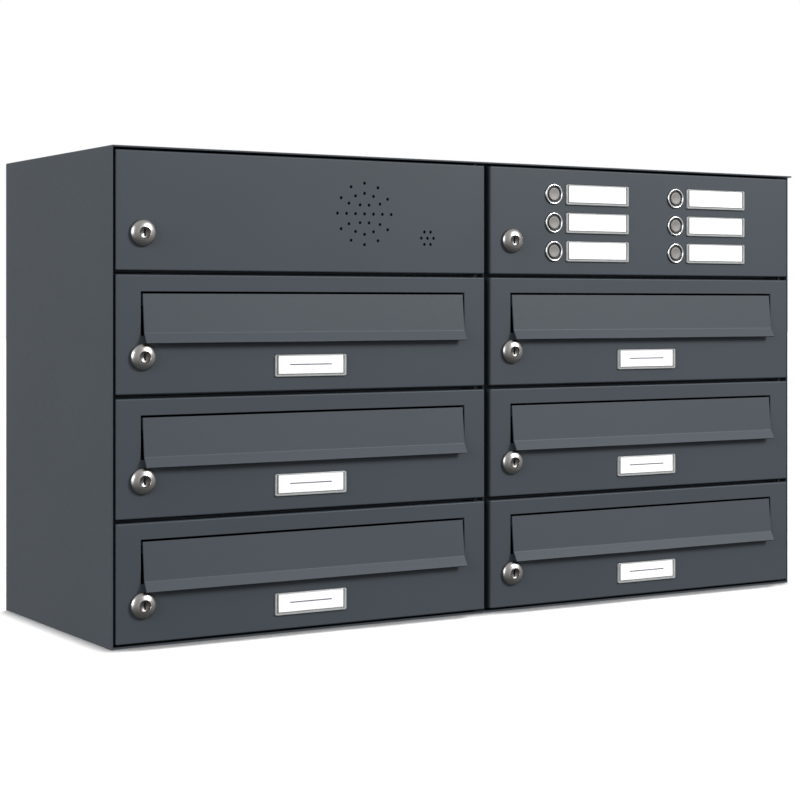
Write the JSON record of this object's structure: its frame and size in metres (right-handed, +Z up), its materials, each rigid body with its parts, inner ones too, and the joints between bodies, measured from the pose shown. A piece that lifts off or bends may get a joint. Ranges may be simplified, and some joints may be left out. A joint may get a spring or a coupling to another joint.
{
  "type": "cluster mailbox unit",
  "caption": "Sheet-metal bank of letterboxes in two columns, each with a hinged door, inlet flap and cam lock, under an intercom compartment and a bell compartment.",
  "frame": {"origin": "centre of the base, midway between the housing's front edge and its back", "axes": "+Z up, +X to the viewer's right, +Y from the door fronts towards the back"},
  "size_m": [0.788, 0.284, 0.444],
  "materials": {
    "powder_coat": "anthracite powder coat, fine satin texture",
    "black_steel": "black phosphated rod",
    "nickel": "satin nickel plate",
    "steel": "brushed steel",
    "bezel_chrome": "bright chrome plate",
    "clear_plastic": "clear polished acrylic",
    "black_plastic": "fine moulded texture",
    "rubber": "matt",
    "paper": "white name card"
  },
  "bodies": {
    "housing": {"housing_hood": "powder_coat", "housing_base": "powder_coat", "back_panel": "powder_coat", "centre_partition": "powder_coat", "cable_grommet": "rubber", "left_hinge_rod": "black_steel", "right_hinge_rod": "black_steel", "letterbox_body_1": "powder_coat", "letterbox_body_2": "powder_coat", "letterbox_body_3": "powder_coat", "letterbox_body_4": "powder_coat", "letterbox_body_5": "powder_coat", "letterbox_body_6": "powder_coat", "intercom_box_body": "powder_coat", "bell_box_body": "powder_coat"},
    "door_1": {"letterbox_door_1": "powder_coat", "lock_body_1": "nickel", "nameplate_1": "clear_plastic"},
    "door_2": {"letterbox_door_2": "powder_coat", "lock_body_2": "nickel", "nameplate_2": "clear_plastic"},
    "door_3": {"letterbox_door_3": "powder_coat", "lock_body_3": "nickel", "nameplate_3": "clear_plastic"},
    "door_4": {"letterbox_door_4": "powder_coat", "lock_body_4": "nickel", "nameplate_4": "clear_plastic"},
    "door_5": {"letterbox_door_5": "powder_coat", "lock_body_5": "nickel", "nameplate_5": "clear_plastic"},
    "door_6": {"letterbox_door_6": "powder_coat", "lock_body_6": "nickel", "nameplate_6": "clear_plastic"},
    "flap_1": {"inlet_flap_1": "powder_coat"},
    "flap_2": {"inlet_flap_2": "powder_coat"},
    "flap_3": {"inlet_flap_3": "powder_coat"},
    "flap_4": {"inlet_flap_4": "powder_coat"},
    "flap_5": {"inlet_flap_5": "powder_coat"},
    "flap_6": {"inlet_flap_6": "powder_coat"},
    "cam_1": {"lock_plug_1": "steel"},
    "cam_2": {"lock_plug_2": "steel"},
    "cam_3": {"lock_plug_3": "steel"},
    "cam_4": {"lock_plug_4": "steel"},
    "cam_5": {"lock_plug_5": "steel"},
    "cam_6": {"lock_plug_6": "steel"},
    "intercom_hatch": {"intercom_door": "powder_coat", "intercom_lock_body": "nickel", "speaker_unit": "black_plastic"},
    "intercom_cam": {"intercom_lock_plug": "steel"},
    "bell_hatch": {"bell_door": "powder_coat", "bell_lock_body": "nickel", "bell_bezel_carrier": "bezel_chrome", "bell_nameplate_carrier": "clear_plastic"},
    "bell_cam": {"bell_lock_plug": "steel"},
    "button_1": {"bell_button_1": "steel"},
    "button_2": {"bell_button_2": "steel"},
    "button_3": {"bell_button_3": "steel"},
    "button_4": {"bell_button_4": "steel"},
    "button_5": {"bell_button_5": "steel"},
    "button_6": {"bell_button_6": "steel"}
  },
  "joints": [
    {"name": "door_1_hinge", "type": "hinge", "parent": "housing", "child": "door_1", "pos_m": [-0.0115, -0.1325, 0.277], "axis": [0, 0, 1], "range_deg": [0, 90]},
    {"name": "door_2_hinge", "type": "hinge", "parent": "housing", "child": "door_2", "pos_m": [0.3805, -0.1325, 0.277], "axis": [0, 0, 1], "range_deg": [0, 90]},
    {"name": "door_3_hinge", "type": "hinge", "parent": "housing", "child": "door_3", "pos_m": [-0.0115, -0.1325, 0.167], "axis": [0, 0, 1], "range_deg": [0, 90]},
    {"name": "door_4_hinge", "type": "hinge", "parent": "housing", "child": "door_4", "pos_m": [0.3805, -0.1325, 0.167], "axis": [0, 0, 1], "range_deg": [0, 90]},
    {"name": "door_5_hinge", "type": "hinge", "parent": "housing", "child": "door_5", "pos_m": [-0.0115, -0.1325, 0.057], "axis": [0, 0, 1], "range_deg": [0, 90]},
    {"name": "door_6_hinge", "type": "hinge", "parent": "housing", "child": "door_6", "pos_m": [0.3805, -0.1325, 0.057], "axis": [0, 0, 1], "range_deg": [0, 90]},
    {"name": "flap_1_hinge", "type": "hinge", "parent": "door_1", "child": "flap_1", "pos_m": [-0.196, -0.134, 0.3111], "axis": [-1, 0, 0], "range_deg": [0, 75]},
    {"name": "flap_2_hinge", "type": "hinge", "parent": "door_2", "child": "flap_2", "pos_m": [0.196, -0.134, 0.3111], "axis": [-1, 0, 0], "range_deg": [0, 75]},
    {"name": "flap_3_hinge", "type": "hinge", "parent": "door_3", "child": "flap_3", "pos_m": [-0.196, -0.134, 0.2011], "axis": [-1, 0, 0], "range_deg": [0, 75]},
    {"name": "flap_4_hinge", "type": "hinge", "parent": "door_4", "child": "flap_4", "pos_m": [0.196, -0.134, 0.2011], "axis": [-1, 0, 0], "range_deg": [0, 75]},
    {"name": "flap_5_hinge", "type": "hinge", "parent": "door_5", "child": "flap_5", "pos_m": [-0.196, -0.134, 0.0911], "axis": [-1, 0, 0], "range_deg": [0, 75]},
    {"name": "flap_6_hinge", "type": "hinge", "parent": "door_6", "child": "flap_6", "pos_m": [0.196, -0.134, 0.0911], "axis": [-1, 0, 0], "range_deg": [0, 75]},
    {"name": "cam_1_turn", "type": "hinge", "parent": "door_1", "child": "cam_1", "pos_m": [-0.3632, -0.1375, 0.2572], "axis": [0, 1, 0], "range_deg": [0, 90]},
    {"name": "cam_2_turn", "type": "hinge", "parent": "door_2", "child": "cam_2", "pos_m": [0.0288, -0.1375, 0.2572], "axis": [0, 1, 0], "range_deg": [0, 90]},
    {"name": "cam_3_turn", "type": "hinge", "parent": "door_3", "child": "cam_3", "pos_m": [-0.3632, -0.1375, 0.1472], "axis": [0, 1, 0], "range_deg": [0, 90]},
    {"name": "cam_4_turn", "type": "hinge", "parent": "door_4", "child": "cam_4", "pos_m": [0.0288, -0.1375, 0.1472], "axis": [0, 1, 0], "range_deg": [0, 90]},
    {"name": "cam_5_turn", "type": "hinge", "parent": "door_5", "child": "cam_5", "pos_m": [-0.3632, -0.1375, 0.0372], "axis": [0, 1, 0], "range_deg": [0, 90]},
    {"name": "cam_6_turn", "type": "hinge", "parent": "door_6", "child": "cam_6", "pos_m": [0.0288, -0.1375, 0.0372], "axis": [0, 1, 0], "range_deg": [0, 90]},
    {"name": "intercom_hatch_hinge", "type": "hinge", "parent": "housing", "child": "intercom_hatch", "pos_m": [-0.0115, -0.1325, 0.387], "axis": [0, 0, 1], "range_deg": [0, 90]},
    {"name": "intercom_cam_turn", "type": "hinge", "parent": "intercom_hatch", "child": "intercom_cam", "pos_m": [-0.3632, -0.1375, 0.3672], "axis": [0, 1, 0], "range_deg": [0, 90]},
    {"name": "bell_hatch_hinge", "type": "hinge", "parent": "housing", "child": "bell_hatch", "pos_m": [0.3805, -0.1325, 0.387], "axis": [0, 0, 1], "range_deg": [0, 90]},
    {"name": "bell_cam_turn", "type": "hinge", "parent": "bell_hatch", "child": "bell_cam", "pos_m": [0.0288, -0.1375, 0.3672], "axis": [0, 1, 0], "range_deg": [0, 90]},
    {"name": "button_1_press", "type": "slide", "parent": "bell_hatch", "child": "button_1", "axis": [0, 1, 0], "range_m": [0, 0.0012], "stiffness_N_per_m": 300},
    {"name": "button_2_press", "type": "slide", "parent": "bell_hatch", "child": "button_2", "axis": [0, 1, 0], "range_m": [0, 0.0012], "stiffness_N_per_m": 300},
    {"name": "button_3_press", "type": "slide", "parent": "bell_hatch", "child": "button_3", "axis": [0, 1, 0], "range_m": [0, 0.0012], "stiffness_N_per_m": 300},
    {"name": "button_4_press", "type": "slide", "parent": "bell_hatch", "child": "button_4", "axis": [0, 1, 0], "range_m": [0, 0.0012], "stiffness_N_per_m": 300},
    {"name": "button_5_press", "type": "slide", "parent": "bell_hatch", "child": "button_5", "axis": [0, 1, 0], "range_m": [0, 0.0012], "stiffness_N_per_m": 300},
    {"name": "button_6_press", "type": "slide", "parent": "bell_hatch", "child": "button_6", "axis": [0, 1, 0], "range_m": [0, 0.0012], "stiffness_N_per_m": 300}
  ]
}
